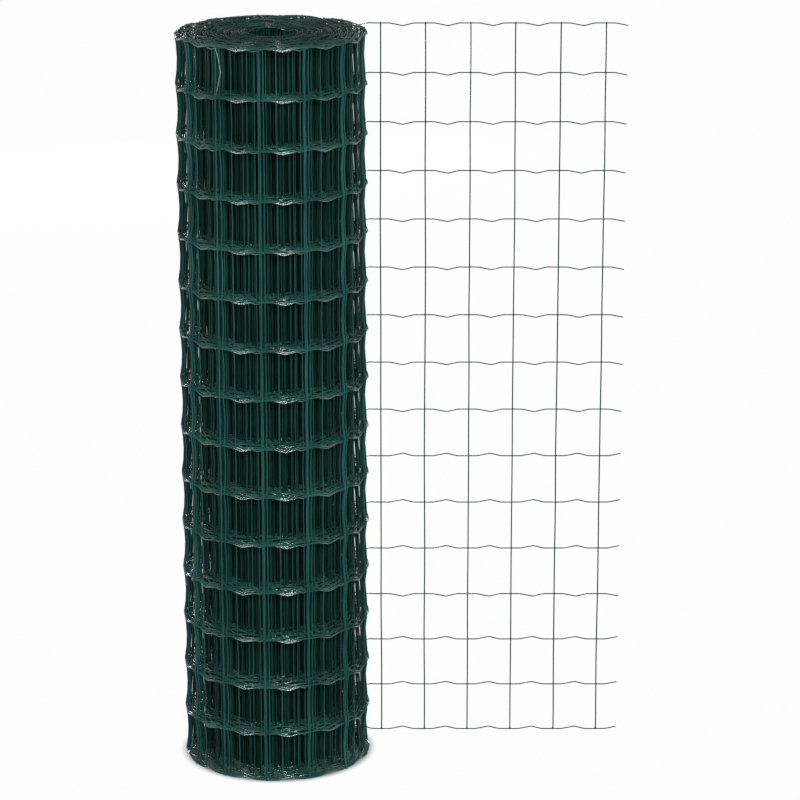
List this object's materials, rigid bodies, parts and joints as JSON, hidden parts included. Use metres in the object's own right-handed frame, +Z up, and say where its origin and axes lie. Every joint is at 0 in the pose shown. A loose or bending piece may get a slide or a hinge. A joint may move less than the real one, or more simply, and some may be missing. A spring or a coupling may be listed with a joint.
{
  "type": "roll of welded wire fencing",
  "caption": "Upright roll of green coated welded wire mesh fencing with crimped line wires, wound round an open bore, its free end unrolled flat to one side.",
  "frame": {"origin": "on the roll's axis, on the ground that it stands on", "axes": "+Z up along the roll's axis, +X the way the free end runs, -Y towards the side that faces the viewer"},
  "size_m": [0.8964, 0.38, 1.5022],
  "materials": {
    "green_coating": "satin plastic coating over steel wire"
  },
  "bodies": {
    "root": {"rolled_mesh": "green_coating", "free_end": "green_coating"}
  },
  "joints": []
}
